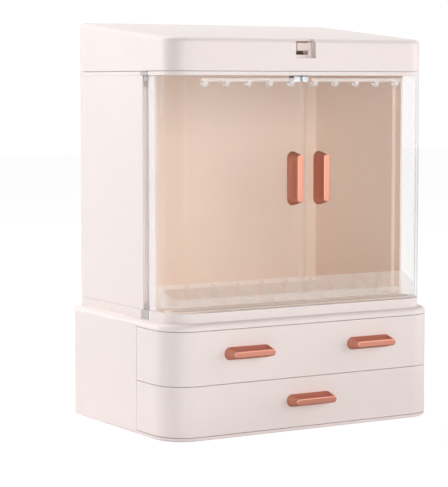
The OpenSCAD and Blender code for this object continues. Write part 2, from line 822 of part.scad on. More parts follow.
// The tray stands on a narrower foot, so that its ends can reach over the doors' lower flanges
module compartment_tray() {
    color(clear) intersection() {
        difference() {
            union() {
                rise(tray_z, tray_z + tray_foot + over) tray_plan(0, tray_inset);
                rise(tray_z + tray_foot, tray_z + tray_back_h) tray_plan();
            }
            difference() {
                rise(tray_z + tray_foot + tray_t, tray_z + tray_back_h + over) tray_plan(tray_t);
                for (i = [0:divider_count - 1]) {
                    x = (i - (divider_count - 1) / 2) * divider_pitch;
                    block(x - tray_t / 2, x + tray_t / 2, tray_front, tray_front + tray_d, tray_z,
                        tray_z + tray_back_h);
                }
            }
        }
        translate([-half_w, 0, tray_z]) rotate([90, 0, 90]) linear_extrude(body_w)
            polygon([[tray_front - over, 0], [tray_front - over, tray_front_h],
                [tray_front + tray_t, tray_front_h], [tray_front + tray_d - tray_t, tray_back_h],
                [tray_front + tray_d, tray_back_h], [tray_front + tray_d, 0]]);
    }
}

// ---- Catch ----

module catch_housing() {
    y0 = flange_back + plate_t + catch_gap;
    color(dark) difference() {
        block(-catch_w / 2, catch_w / 2, y0, y0 + catch_d, z_frame - catch_h, z_frame);
        catch_space(over);
    }
}

module catch_space(open = 0) {
    y0 = flange_back + plate_t + catch_gap;
    both_sides() block(-catch_w / 2 + 1, -0.5, y0 - open, y0 + catch_d - 2, z_frame - catch_h + 1,
        z_frame - 1);
}

module catch_magnets() { color(steel) catch_space(); }

// ---- Lid ----

// The outline of `plan` as points, with `steps` points to each corner's arc
function plan_points(inset, back, steps = 12) = let (rf = max(front_corner_r - inset, 1),
    rb = max(back_corner_r - back, 1), xf = half_w - inset - rf, xb = half_w - inset - rb,
    yf = y_front + inset + rf, yb = y_back - back - rb)
    concat(arc(-xf, yf, rf, 180, 270, steps), arc(xf, yf, rf, 270, 360, steps),
        arc(xb, yb, rb, 0, 90, steps), arc(-xb, yb, rb, 90, 180, steps));

// The lid's block with a sloping top and rounded top edges, set in by `inset` on every side but the bottom
module lid_body(inset, edge_r, bottom) {
    steps = 6;
    function ring(d, drop) = [for (p = plan_points(cabinet_inset + d, d))
        [p.x, p.y, z_lid + lid_front_h + lid_slope * (p.y - cab_front) - drop]];
    rings = concat([[for (p = plan_points(cabinet_inset + inset, inset)) [p.x, p.y, bottom]]],
        [for (i = [0:steps]) let (a = 90 * i / steps)
            ring(inset + edge_r * (1 - cos(a)), inset + edge_r * (1 - sin(a)))]);
    n = len(rings[0]);
    last = (len(rings) - 1) * n;
    walls = [for (i = [0:len(rings) - 2], j = [0:n - 1]) let (k = (j + 1) % n)
        each [[i * n + j, (i + 1) * n + k, i * n + k], [i * n + j, (i + 1) * n + j, (i + 1) * n + k]]];
    caps = [for (j = [1:n - 2]) each [[0, j, j + 1], [last, last + j + 1, last + j]]];
    polyhedron([for (ring = rings) each ring], concat(walls, caps));
}

module lid_shell() {
    color(white) difference() {
        union() {
            difference() {
                lid_body(0, lid_edge_r, lid_z);
                lid_body(wall_t, max(lid_edge_r - wall_t, 0.5), lid_z - over);
            }
            for (hinge = [-1, 1]) {
                rod_x(hinge * lid_hinge_x, lid_axis_y, z_lid, knuckle_r, 2 * knuckle_half);
                block(hinge * lid_hinge_x - knuckle_half, hinge * lid_hinge_x + knuckle_half,
                    y_back - wall_t / 2, lid_axis_y, lid_z, z_lid + knuckle_r);
            }
        }
        for (hinge = [-1, 1])
            rod_x(hinge * lid_hinge_x, lid_axis_y, z_lid, lid_pin_r + pin_play, 2 * knuckle_half + 2 * over);
        block(-pocket_w / 2, pocket_w / 2, cab_front - over, pocket_back, pocket_bottom, z_lid + lid_back_h);
    }
}

// ---- Latch ----

module latch_insert() {
    outer = pocket_w / 2 + insert_t;
    inner_face = cab_front + wall_t;
    color(white) difference() {
        union() {
            block(-outer, outer, inner_face, insert_back, pocket_bottom - insert_t, insert_top);
            both_sides() block(-ear_x, -ear_x + ear_t, insert_back - sliver, latch_y + latch_r,
                latch_z - latch_r, latch_z + latch_r);
        }
        block(-pocket_w / 2, pocket_w / 2, inner_face - over, pocket_back, pocket_bottom, insert_top + over);
        block(-window_w / 2, window_w / 2, pocket_back - over, insert_back + over, window_z,
            insert_top + over);
        block(-outer - over, outer + over, inner_face - over, inner_face + lid_edge_r - wall_t + 0.1,
            insert_top - lid_edge_r + wall_t - 0.1, insert_top + over);
        rod_x(0, latch_y, latch_z, latch_pin_r, pocket_w);
    }
}

module latch_pin() { color(steel) rod_x(0, latch_y, latch_z, latch_pin_r, 2 * ear_x); }

// A torsion spring wound along X round the latch's pin
module latch_spring() {
    sides = 6;
    rings = spring_turns * 12;
    x0 = stem_half + spring_wire_r + 0.1;
    pitch = 2.2 * spring_wire_r;
    points = [for (i = [0:rings], j = [0:sides - 1]) let (a = 360 * i / 12, b = 360 * j / sides,
        r = spring_r + spring_wire_r * cos(b)) [x0 + pitch * i / 12 + spring_wire_r * sin(b),
        latch_y + r * cos(a), latch_z + r * sin(a)]];
    walls = [for (i = [0:rings - 1], j = [0:sides - 1]) let (k = (j + 1) % sides)
        each [[i * sides + j, i * sides + k, (i + 1) * sides + k], [i * sides + j, (i + 1) * sides + k,
        (i + 1) * sides + j]]];
    ends = [for (j = [1:sides - 2]) each [[0, j + 1, j],
        [rings * sides, rings * sides + j, rings * sides + j + 1]]];
    color(steel) polyhedron(points, concat(walls, ends));
}

// The lever: a thumb tab in the window, a barrel on the pin and a stem with a beak at the bottom
module latch_lever() {
    tab_half = window_w / 2 - tab_play;
    color(beige) difference() {
        union() {
            block(-tab_half, tab_half, pocket_back - tab_reach, stem_front + stem_t, tab_z, tab_top);
            block(-stem_half, stem_half, stem_front, stem_front + stem_t, stem_bottom, tab_top);
            rod_x(0, latch_y, latch_z, latch_r, 2 * stem_half);
            block(-stem_half, stem_half, stem_front + stem_t - sliver, stem_front + stem_t + beak_l,
                stem_bottom, stem_bottom + beak_h);
        }
        rod_x(0, latch_y, latch_z, latch_pin_r + pin_play, 2 * stem_half + 2 * over);
    }
}

// The strike on the frame's front rail, with a shallow groove at the beak's height
module latch_strike() {
    groove = 0.5;
    color(white) difference() {
        block(-stem_half - 1, stem_half + 1, strike_front, strike_front + 2, z_lid,
            stem_bottom + beak_h + 1.5);
        block(-stem_half - 0.5, stem_half + 0.5, strike_front - over, strike_front + groove,
            stem_bottom - 0.5, stem_bottom + beak_h + 0.5);
    }
}

base_shell();
base_floor();
drawer_shelf();
floor_screws();
cabinet_shell();
cabinet_liner();
cabinet_screws();
top_frame();
compartment_tray();
left_hinge_brackets();
right_hinge_brackets();
catch_housing();
catch_magnets();
latch_strike();
lid_hinge_pins();
left_door_panel();
left_hook_rail();
left_door_pull();
left_pull_screws();
left_strike_plate();
left_hinge_pins();
right_door_panel();
right_hook_rail();
right_door_pull();
right_pull_screws();
right_strike_plate();
right_hinge_pins();
lid_shell();
latch_insert();
latch_pin();
latch_spring();
latch_lever();
upper_drawer_box();
upper_drawer_front();
upper_left_pull();
upper_right_pull();
upper_pull_screws();
lower_drawer_box();
lower_drawer_front();
lower_pull();
lower_pull_screws();
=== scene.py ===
# %% [markdown]
# # Dustproof makeup organizer
#
# A tabletop cabinet for cosmetics: two wrap-round drawers below, a tan-lined cabinet behind two clear
# corner doors, and a sloping lid on top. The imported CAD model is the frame. This notebook gives it the
# finishes of the real thing, replaces the plainest shapes by finer ones, and sets up camera and light.

# %% Load the frame
import json
import math
import bmesh
import bpy
import numpy as np
from mathutils import Matrix, Vector


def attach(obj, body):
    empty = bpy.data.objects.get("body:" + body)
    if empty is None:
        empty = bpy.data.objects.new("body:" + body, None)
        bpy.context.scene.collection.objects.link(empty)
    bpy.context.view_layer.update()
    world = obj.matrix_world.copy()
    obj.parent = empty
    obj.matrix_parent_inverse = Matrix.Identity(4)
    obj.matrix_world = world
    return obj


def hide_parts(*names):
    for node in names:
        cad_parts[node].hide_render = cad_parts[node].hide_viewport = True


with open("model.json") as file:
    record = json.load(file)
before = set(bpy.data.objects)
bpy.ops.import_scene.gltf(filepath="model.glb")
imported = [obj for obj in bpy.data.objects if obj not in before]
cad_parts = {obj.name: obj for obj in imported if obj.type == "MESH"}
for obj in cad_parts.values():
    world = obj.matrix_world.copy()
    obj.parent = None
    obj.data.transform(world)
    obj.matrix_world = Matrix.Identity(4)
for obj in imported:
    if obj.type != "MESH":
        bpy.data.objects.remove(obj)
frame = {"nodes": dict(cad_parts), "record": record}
scene = bpy.context.scene
nodes = frame["nodes"]
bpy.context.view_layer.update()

MM = 0.001

# %% [markdown]
# ## Camera
#
# The camera stands to the left of the object and a little above its middle. Its angles, distance and
# focal length were worked out by fitting the model's edges to the picture. The lens is long, so
# upright edges stay nearly parallel.

# %% Camera
AZIMUTH = math.radians(31.22)
DIP = math.radians(4.80)
DISTANCE = 1.7485
AIM = Vector((-0.03369, 0.0, 0.16222))
FOCAL_PIXELS = 1892.85
LONG_SIDE_PIXELS = 487

forward = Vector((math.sin(AZIMUTH) * math.cos(DIP), math.cos(AZIMUTH) * math.cos(DIP), -math.sin(DIP)))
right = Vector((math.cos(AZIMUTH), -math.sin(AZIMUTH), 0))
up = right.cross(forward)
camera_data = bpy.data.cameras.new("camera")
camera_data.sensor_width = 36
camera_data.lens = FOCAL_PIXELS * camera_data.sensor_width / LONG_SIDE_PIXELS
camera_data.clip_start = 0.05
camera = bpy.data.objects.new("camera", camera_data)
turn = Matrix((right, up, -forward)).transposed().to_4x4()
camera.matrix_world = Matrix.Translation(AIM - forward * DISTANCE) @ turn
scene.collection.objects.link(camera)
scene.camera = camera
scene.view_settings.view_transform = "Standard"
# Door, tray front, divider and tray floor together are more clear layers than the usual eight.
scene.cycles.transparent_max_bounces = 24
print("camera at", tuple(round(v, 3) for v in camera.location), "lens", round(camera_data.lens, 1))


# %% [markdown]
# ## Shader expressions
#
# A material is a small graph of nodes. Wrapping a socket in a class lets ordinary arithmetic add the
# Math nodes, so a finish reads like a formula.

# %% Wrap a socket
class Wire:
    """A value or colour inside one material. Arithmetic on it adds Math nodes."""

    def __init__(self, tree, socket=None):
        self.tree = tree
        self.socket = socket

    def node(self, kind, settings=None, sockets=None, out=0):
        """Adds a node: its settings first, then a value or a Wire for each named socket."""
        made = self.tree.nodes.new(kind)
        for key, value in (settings or {}).items():
            setattr(made, key, value)
        for key, value in (sockets or {}).items():
            if isinstance(value, Wire):
                self.tree.links.new(value.socket, made.inputs[key])
            else:
                made.inputs[key].default_value = value
        return Wire(self.tree, made.outputs[out])

    def maths(self, operation, first, second):
        return self.node("ShaderNodeMath", {"operation": operation}, {0: first, 1: second})

    def __add__(self, other):
        return self.maths("ADD", self, other)

    def __rsub__(self, other):
        return self.maths("SUBTRACT", other, self)

    def __mul__(self, other):
        return self.maths("MULTIPLY", self, other)

    def __pow__(self, other):
        return self.maths("POWER", self, other)

    def blend(self, low, high):
        """A colour that goes from low to high as this value goes from 0 to 1."""
        return self.node("ShaderNodeMix", {"data_type": "RGBA"}, {0: self, 6: low, 7: high}, out=2)


def srgb(red, green, blue):
    """A screen colour of 0 to 255 as the linear colour that shaders use."""
    def linear(value):
        value /= 255
        return value / 12.92 if value <= 0.04045 else ((value + 0.055) / 1.055) ** 2.4
    return (linear(red), linear(green), linear(blue), 1)


def start_finish(name):
    """An empty material, its Principled shader and a Wire with the piece's own coordinates."""
    material = bpy.data.materials.new(name)
    material.use_nodes = True
    tree = material.node_tree
    shader = tree.nodes["Principled BSDF"]
    place = Wire(tree).node("ShaderNodeTexCoord", out=3)
    return material, shader, place


BUMP_DEPTH = 0.2 * MM


def feed(wire, shader, socket):
    wire.tree.links.new(wire.socket, shader.inputs[socket])


def noise(place, scale, detail=2.0):
    return place.node("ShaderNodeTexNoise", None, {"Vector": place, "Scale": scale, "Detail": detail,
                                                   "Roughness": 0.5})


def bump(height, strength):
    return height.node("ShaderNodeBump", None, {"Height": height, "Strength": strength,
                                                "Distance": BUMP_DEPTH})


# %% [markdown]
# ## Moulded plastic
#
# The housing is injection-moulded in a warm white with a soft satin skin. Real mouldings are never
# perfectly even: the gloss drifts a little where the mould was polished, and the skin has a very fine
# grain. Two noises of different size give both.

# %% Moulded plastic
POLISH_PATCHES = 9.0
SKIN_GRAIN = 1400.0
SHEEN_DRIFT = 0.08
PLASTIC_IOR = 1.5


def moulded_plastic(name, colour, shade, roughness=0.42, grain=0.03):
    material, shader, place = start_finish(name)
    drift = noise(place, POLISH_PATCHES, 3.0)
    feed(drift.blend(colour, shade), shader, "Base Color")
    feed(drift * SHEEN_DRIFT + (roughness - SHEEN_DRIFT / 2), shader, "Roughness")
    feed(bump(noise(place, SKIN_GRAIN), grain), shader, "Normal")
    shader.inputs["IOR"].default_value = PLASTIC_IOR
    return material


WHITE = moulded_plastic("white_moulding", srgb(240, 229, 226), srgb(238, 226, 223))
LINING = moulded_plastic("tan_lining", srgb(251, 230, 213), srgb(246, 221, 201), 0.55, 0.02)
GREY = moulded_plastic("grey_bracket_plastic", srgb(196, 190, 190), srgb(186, 180, 180), 0.5)
PALE_PIN = moulded_plastic("pale_pin_lacquer", srgb(222, 216, 216), srgb(214, 208, 208), 0.4)
DARK = moulded_plastic("dark_catch_plastic", srgb(70, 68, 72), srgb(58, 56, 60), 0.4)
BEIGE = moulded_plastic("beige_latch_plastic", srgb(232, 214, 208), srgb(226, 206, 200), 0.35)
# Paler than the moulding: painted light that lifts the shade inside the latch pocket.
POCKET_PAINTED_LIGHT = moulded_plastic("pocket_painted_light", srgb(250, 240, 236), srgb(246, 235, 230), 0.45)
# Dark grey painted shade for the seam line between base and cabinet.
SEAM_SHADE_PAINT = moulded_plastic("painted_seam_shade", srgb(62, 58, 58), srgb(52, 48, 48), 0.7)
# Dark brown painted shade for the slot under the latch tab.
SLOT_SHADE_PAINT = moulded_plastic("painted_slot_shade", srgb(92, 70, 58), srgb(80, 60, 50), 0.5)

# %% [markdown]
# ## Clear plastic
#
# The doors, hooks and tray are clear polystyrene. Seen square on, almost all light passes; towards a
# grazing angle the surface turns to a pale sheen, and at the very rim its colour turns to grey, a
# painted reflection of the thin line where real plastic bends the surroundings. A Layer Weight drives
# both. Light that falls through clear plastic is bent but hardly lost, so for shadow rays the plastic
# is thinner still.

# %% Clear plastic
SHADOW_CLEARNESS = 0.9
RIM_SHARPNESS = 1.3
HAZE_DEPTH = 0.02
GLOSS_DRIFT = 0.04


def clear_plastic(name, facing_alpha, edge_alpha, bend, colour, rim_reflection_colour, roughness=0.06):
    material, shader, place = start_finish(name)
    facing = place.node("ShaderNodeLayerWeight", None, {"Blend": 0.5}, out=1)
    edge = facing ** bend
    haze = noise(place, 60.0, 3.0) * HAZE_DEPTH
    shadow_ray = place.node("ShaderNodeLightPath", out=1)
    seen = edge * (edge_alpha - facing_alpha) + facing_alpha + haze
    feed(seen * (1 - shadow_ray * SHADOW_CLEARNESS), shader, "Alpha")
    # Towards grazing angles the base colour turns to the rim colour: a painted reflection.
    feed((facing ** (RIM_SHARPNESS * bend)).blend(colour, rim_reflection_colour), shader, "Base Color")
    feed(noise(place, 25.0) * GLOSS_DRIFT + (roughness - GLOSS_DRIFT / 2), shader, "Roughness")
    shader.inputs["IOR"].default_value = PLASTIC_IOR
    return material


# The last colour of each is its painted rim reflection.
DOOR_CLEAR = clear_plastic("clear_door", 0.05, 0.95, 4.0, srgb(255, 254, 255), srgb(96, 98, 102))
TRAY_CLEAR = clear_plastic("clear_tray", 0.13, 0.55, 4.0, srgb(255, 252, 249), srgb(240, 232, 227))
HOOK_CLEAR = clear_plastic("clear_hook", 0.3, 0.9, 2.0, srgb(252, 250, 250), srgb(190, 186, 186))
# Edge finish of clear plastic: partly its real edge look, partly a painted highlight along the rims.
CLEAR_EDGE_AND_SHEEN = clear_plastic("clear_edge_and_sheen", 0.35, 0.8, 2.0, srgb(250, 246, 244), srgb(214, 210, 208), 0.12)

# %% [markdown]
# ## Metal
#
# The pulls are zinc castings lacquered in rose copper: mostly metal, with a thin clear coat. Towards a
# grazing angle the copper reflects browner than seen square on, which the specular tint gives. The
# screws, plates and the latch's pin are bare steel with fine brush marks.

# %% Metal
FLAKES = 900.0
FLAKE_SHEEN = 0.12
BRUSH_SHEEN = 0.2


def lacquered_metal(name, colour, shade, edge_tint, roughness=0.32):
    material, shader, place = start_finish(name)
    flakes = noise(place, FLAKES)
    feed(flakes.blend(colour, shade), shader, "Base Color")
    feed(flakes * FLAKE_SHEEN + (roughness - FLAKE_SHEEN / 2), shader, "Roughness")
    feed(bump(noise(place, 500.0), 0.05), shader, "Normal")
    shader.inputs["Metallic"].default_value = 0.9
    shader.inputs["Specular Tint"].default_value = srgb(*edge_tint)
    shader.inputs["Coat Weight"].default_value = 0.3
    shader.inputs["Coat Roughness"].default_value = 0.15
    return material


def brushed_steel(name, colour, shade, roughness=0.25):
    material, shader, place = start_finish(name)
    long = place.node("ShaderNodeMapping", None, {"Vector": place, "Scale": (40, 900, 900)})
    brush = noise(long, 3.0, 4.0)
    feed(brush.blend(colour, shade), shader, "Base Color")
    feed(brush * BRUSH_SHEEN + roughness, shader, "Roughness")
    shader.inputs["Metallic"].default_value = 1.0
    return material


COPPER = lacquered_metal("rose_copper_lacquer", srgb(207, 144, 125), srgb(199, 133, 112),
                         (176, 106, 78))
STEEL = brushed_steel("bright_steel", srgb(190, 192, 196), srgb(222, 224, 228))
# Darker, rougher steel for the latch pin: painted shade for the slot it shows in.
SLOT_SHADED_STEEL = brushed_steel("steel_with_painted_slot_shade", srgb(128, 126, 128), srgb(150, 148, 150), 0.5)

# %% Give every CAD node its finish
# The slots come from the record. A few nodes get a finish of their own: the tray and the hooks are
# clearer or hazier than the doors, and the door pins are lacquered pale.
FINISH_OF_SLOT = {"white_plastic": WHITE, "tan_lining": LINING, "clear_plastic": DOOR_CLEAR,
                  "rose_copper": COPPER, "steel": STEEL, "grey_plastic": GREY, "dark_plastic": DARK,
                  "beige_plastic": BEIGE}
SLOT_OF = {part["node"]: part["material_slot"] for part in frame["record"]["subparts"]}
BODY_OF = {node: body for body, members in frame["record"]["behaviour"]["bodies"].items()
           for node in members}
FINISH_OF = {node: FINISH_OF_SLOT[slot] for node, slot in SLOT_OF.items()}
FINISH_OF["compartment_tray"] = TRAY_CLEAR
FINISH_OF["left_hook_rail"] = FINISH_OF["right_hook_rail"] = HOOK_CLEAR
FINISH_OF["left_hinge_pins"] = FINISH_OF["right_hinge_pins"] = PALE_PIN
# The latch pin's darker steel is painted shade for the slot under the tab.
FINISH_OF["latch_pin"] = SLOT_SHADED_STEEL
# The latch insert's paler finish is painted light against the shade in its pocket.
FINISH_OF["latch_insert"] = POCKET_PAINTED_LIGHT
for node, finish in FINISH_OF.items():
    nodes[node].data.materials.clear()
    nodes[node].data.materials.append(finish)
print("finishes on", len(nodes), "CAD nodes")

# %% [markdown]
# ## Softened edges
#
# No moulded part has a sharp edge: the mould is rounded, and a thin bright line runs along every
# corner. The CAD solids are sharp, so each one is copied, its loose triangles are joined, its flat
# faces are made whole, and a bevel of a few tenths of a millimetre runs along every sharp edge.
# Weighted normals then keep the flat faces flat and let the shading turn only in the bevels.
# Clear plastic pipes light to its edges, which look brighter and less clear than its faces. So the
# bevels and the thin end faces of the clear pieces get an edge finish of their own: less clear than
# the faces, partly the plastic's real edge look and partly a painted highlight for the piped light.

# %% Copy a node and soften its edges
SHARP_ANGLE = 32
RIM_THICKNESS = 2.6 * MM
CORNER_ANGLE = 60
CORNERED_SHARE = 0.6
JOIN_DISTANCE = 0.002 * MM


def joined_copy(node):
    """A bmesh of a CAD node whose triangles share their corners and whose flat faces are whole."""
    grid = bmesh.new()
    grid.from_mesh(nodes[node].data)
    bmesh.ops.remove_doubles(grid, verts=grid.verts, dist=JOIN_DISTANCE)
    bmesh.ops.dissolve_limit(grid, angle_limit=math.radians(0.3), verts=grid.verts, edges=grid.edges)
    return grid


def applied(thing):
    """The mesh of an object with its modifiers applied. The object itself goes."""
    mesh = bpy.data.meshes.new_from_object(thing.evaluated_get(bpy.context.evaluated_depsgraph_get()))
    bpy.data.objects.remove(thing)
    return mesh


def evened(mesh, name):
    """A piece with this mesh, shaded smooth up to the sharp angle, with weighted normals."""
    for face in mesh.polygons:
        face.use_smooth = True
    mesh.set_sharp_from_angle(angle=math.radians(SHARP_ANGLE))
    rough = bpy.data.objects.new(name + "_rough", mesh)
    scene.collection.objects.link(rough)
    even = rough.modifiers.new("even", "WEIGHTED_NORMAL")
    even.keep_sharp = True
    piece = bpy.data.objects.new(name, applied(rough))
    scene.collection.objects.link(piece)
    return piece


def stand_in(piece, node):
    """Puts a finished piece in a CAD node's place."""
    piece.data.materials.clear()
    piece.data.materials.append(FINISH_OF[node])
    if SLOT_OF[node] == "clear_plastic":
        piece.data.materials.append(CLEAR_EDGE_AND_SHEEN)
    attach(piece, BODY_OF[node])
    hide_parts(node)
    return piece


def mark_thin_faces(grid):
    """Gives material 1 to the faces that are narrow and end at real corners, such as rims."""
    for face in grid.faces:
        around = sum(edge.calc_length() for edge in face.edges)
        cornered = sum(edge.calc_length() for edge in face.edges
                       if edge.calc_face_angle(0) > math.radians(CORNER_ANGLE))
        if cornered > CORNERED_SHARE * around and 2 * face.calc_area() / around < RIM_THICKNESS:
            face.material_index = 1


def softened(node, width):
    """Replaces a node by a copy whose sharp edges have a bevel of this width in millimetres."""
    grid = joined_copy(node)
    before = grid.calc_volume()
    clear = SLOT_OF[node] == "clear_plastic"
    if clear:
        mark_thin_faces(grid)
    if width:
        sharp = [edge for edge in grid.edges
                 if len(edge.link_faces) == 2 and edge.calc_face_angle(0) > math.radians(SHARP_ANGLE)]
        bmesh.ops.bevel(grid, geom=sharp, offset=width * MM, offset_type="WIDTH", segments=3, profile=0.5,
                        affect="EDGES", clamp_overlap=False, loop_slide=True, material=1 if clear else -1)
    after = grid.calc_volume()
    mesh = bpy.data.meshes.new("soft_" + node)
    grid.to_mesh(mesh)
    grid.free()
    piece = stand_in(evened(mesh, "soft_" + node), node)
    print(piece.name, len(mesh.polygons), "faces, volume", f"{100 * after / before - 100:+.2f}%")
    return piece


# Widths in millimetres. A width of 0 keeps the CAD edges.
EDGE_WIDTH = {
    "base_shell": 0.25, "base_floor": 0, "drawer_shelf": 0.2, "cabinet_shell": 0.4,
    "cabinet_liner": 0.25, "top_frame": 0.25, "compartment_tray": 0.2, "left_hinge_brackets": 0.4,
    "right_hinge_brackets": 0.4, "catch_housing": 0.4, "catch_magnets": 0.15, "latch_strike": 0.3,
    "lid_hinge_pins": 0.3, "left_door_panel": 0.2, "right_door_panel": 0.2, "left_hook_rail": 0.3,
    "right_hook_rail": 0.3, "left_door_pull": 0.15, "right_door_pull": 0.15,
    "upper_left_pull": 0.15, "upper_right_pull": 0.15, "lower_pull": 0.15,
    "left_strike_plate": 0.15, "right_strike_plate": 0.15, "left_hinge_pins": 0.2,
    "right_hinge_pins": 0.2, "lid_shell": 0.4, "latch_insert": 0.3, "latch_pin": 0.15,
    "latch_spring": 0, "latch_lever": 0.5, "upper_drawer_box": 0.25, "lower_drawer_box": 0.15,
    "upper_drawer_front": 0.6, "lower_drawer_front": 0.6,
}
for node, width in EDGE_WIDTH.items():
    softened(node, width)

# %% [markdown]
# ## Painted shade on the latch lever's foot
#
# Below its light tab the latch lever shows as a dark slot. The lever's faces below the tab's
# underside get a second, dark brown finish, which is painted shade standing in for that slot.

# %% Painted shade on the latch lever's foot
TAB_UNDERSIDE = 338.1 * MM
lever = bpy.data.objects["soft_latch_lever"]
lever.data.materials.append(SLOT_SHADE_PAINT)
for face in lever.data.polygons:
    if face.center.z < TAB_UNDERSIDE:
        face.material_index = 1
print("brown faces", sum(face.material_index for face in lever.data.polygons))

# %% [markdown]
# ## Screws
#
# Pan-head screws with a cross recess hold the floor, the cabinet and the pulls. They are all one
# screw in different sizes, so Geometry Nodes build it once: a cylinder drawn in towards its top, a
# cross cut out of it, a shank with a spiral swept round it as the thread. The tree puts one on each
# point of a small mesh, and each point lies where the CAD screw's head bears on the plastic.

# %% The screw tree
THREAD_PITCH = 0.0008
HEAD_DRAW = 0.75


def screw_tree():
    tree = bpy.data.node_groups.new("pan_head_screw", "GeometryNodeTree")
    sockets = [("Geometry", "Geometry"), ("Head radius", "Float"), ("Head height", "Float"),
               ("Shank radius", "Float"), ("Shank length", "Float"), ("Turn", "Rotation"),
               ("Finish", "Material")]
    for name, kind in sockets:
        tree.interface.new_socket(name, in_out="INPUT", socket_type="NodeSocket" + kind)
    tree.interface.new_socket("Geometry", in_out="OUTPUT", socket_type="NodeSocketGeometry")
    given_node = tree.nodes.new("NodeGroupInput")
    given = {name: Wire(tree, given_node.outputs[name]) for name, _ in sockets}
    start = Wire(tree)
    head_r, head_h = given["Head radius"], given["Head height"]
    shank_r, shank_l = given["Shank radius"], given["Shank length"]

    def vector(x=0.0, y=0.0, z=0.0):
        return start.node("ShaderNodeCombineXYZ", None, {"X": x, "Y": y, "Z": z})

    def moved(shape, offset):
        return start.node("GeometryNodeTransform", None, {"Geometry": shape, "Translation": offset})

    blank = start.node("GeometryNodeMeshCylinder", {"fill_type": "TRIANGLE_FAN"},
                       {"Vertices": 32, "Side Segments": 6, "Fill Segments": 3, "Radius": head_r,
                        "Depth": head_h})
    place = start.node("GeometryNodeInputPosition")
    split = start.node("ShaderNodeSeparateXYZ", None, {"Vector": place}).socket.node
    x, y, z = (Wire(tree, split.outputs[axis]) for axis in "XYZ")
    rise = z.maths("DIVIDE", z, head_h) + 0.5
    draw = (1 - (rise * HEAD_DRAW) ** 2) ** 0.5
    drawn = start.node("GeometryNodeSetPosition", None,
                       {"Geometry": blank, "Position": vector(x * draw, y * draw, z)})
    head = moved(drawn, vector(z=head_h * 0.5))
    bars = [start.node("GeometryNodeMeshCube", None, {"Size": vector(*size)})
            for size in ((head_r * 1.0, head_r * 0.28, head_h), (head_r * 0.28, head_r * 1.0, head_h))]
    cross = start.node("GeometryNodeMeshBoolean", {"operation": "UNION", "solver": "EXACT"},
                       {"Mesh": bars[0]})
    tree.links.new(bars[1].socket, cross.socket.node.inputs["Mesh"])
    cut = start.node("GeometryNodeMeshBoolean", {"operation": "DIFFERENCE", "solver": "EXACT"},
                     {"Mesh 1": head, "Mesh 2": moved(cross, vector(z=head_h))})
    core = start.node("GeometryNodeMeshCylinder", None,
                      {"Vertices": 24, "Radius": shank_r * 0.8, "Depth": shank_l})
    shank = moved(core, vector(z=shank_l * -0.5))
    spiral = start.node("GeometryNodeCurveSpiral", None,
                        {"Resolution": 14, "Rotations": shank_l * (0.8 / THREAD_PITCH),
                         "Start Radius": shank_r * 0.78, "End Radius": shank_r * 0.78,
                         "Height": shank_l * 0.8})
    ridge = start.node("GeometryNodeCurvePrimitiveCircle", None,
                       {"Resolution": 3, "Radius": shank_r * 0.18})
    thread = start.node("GeometryNodeCurveToMesh", None,
                        {"Curve": spiral, "Profile Curve": ridge, "Fill Caps": True})
    screw = start.node("GeometryNodeJoinGeometry", None, {"Geometry": cut})
    for extra in (shank, moved(thread, vector(z=shank_l * -0.95))):
        tree.links.new(extra.socket, screw.socket.node.inputs["Geometry"])
    set_out = start.node("GeometryNodeInstanceOnPoints", None,
                         {"Points": given["Geometry"], "Instance": screw, "Rotation": given["Turn"]})
    whole = start.node("GeometryNodeRealizeInstances", None, {"Geometry": set_out})
    done = start.node("GeometryNodeSetMaterial", None, {"Geometry": whole, "Material": given["Finish"]})
    tree.links.new(done.socket, tree.nodes.new("NodeGroupOutput").inputs["Geometry"])
    return tree


SCREW = screw_tree()
print("screw tree has", len(SCREW.nodes), "nodes")

# %% Put the screws where the CAD screws are
HEAD_HEIGHT = 1.4 * MM
HEAD_OVERHANG = {"floor_screws": 0.9 * MM, "cabinet_screws": 0.9 * MM}
PULL_HEAD_OVERHANG = 1.3 * MM


def loose_boxes(node):
    """The lowest and highest corner of each separate solid in a node."""
    grid = joined_copy(node)
    left = set(grid.verts)
    boxes = []
    while left:
        group, fringe = set(), [left.pop()]
        while fringe:
            vert = fringe.pop()
            group.add(vert)
            for edge in vert.link_edges:
                other = edge.other_vert(vert)
                if other in left:
                    left.remove(other)
                    fringe.append(other)
        points = np.array([vert.co for vert in group])
        boxes.append((points.min(axis=0), points.max(axis=0)))
    grid.free()
    return boxes


def screws(node):
    """Replaces a node of CAD screws by detailed ones. Pull screws point to the front, others up."""
    to_front = node.endswith("pull_screws")
    overhang = HEAD_OVERHANG.get(node, PULL_HEAD_OVERHANG)
    places = []
    for low, high in loose_boxes(node):
        middle = (low + high) / 2
        if to_front:
            places.append((middle[0], high[1] - HEAD_HEIGHT, middle[2]))
            length = high[1] - HEAD_HEIGHT - low[1]
        else:
            places.append((middle[0], middle[1], low[2] + HEAD_HEIGHT))
            length = high[2] - low[2] - HEAD_HEIGHT
        radius = (high[0] - low[0]) / 2
    dots = bpy.data.meshes.new(node + "_places")
    dots.from_pydata(places, [], [])
    holder = bpy.data.objects.new(node + "_places", dots)
    scene.collection.objects.link(holder)
    maker = holder.modifiers.new("screws", "NODES")
    maker.node_group = SCREW
    turn = (-math.pi / 2, 0.0, 0.0) if to_front else (math.pi, 0.0, 0.0)
    wanted = {"Head radius": float(radius), "Head height": HEAD_HEIGHT,
              "Shank radius": float(radius - overhang), "Shank length": float(length),
              "Turn": turn, "Finish": STEEL}
    for item in SCREW.interface.items_tree:
        if item.name in wanted:
            maker[item.identifier] = wanted[item.name]
    holder.update_tag()
    piece = stand_in(evened(applied(holder), "fine_" + node), node)
    print(piece.name, len(places), "screws,", len(piece.data.polygons), "faces")
    return piece


for node in ("floor_screws", "cabinet_screws", "upper_pull_screws", "lower_pull_screws",
             "left_pull_screws", "right_pull_screws"):
    screws(node)

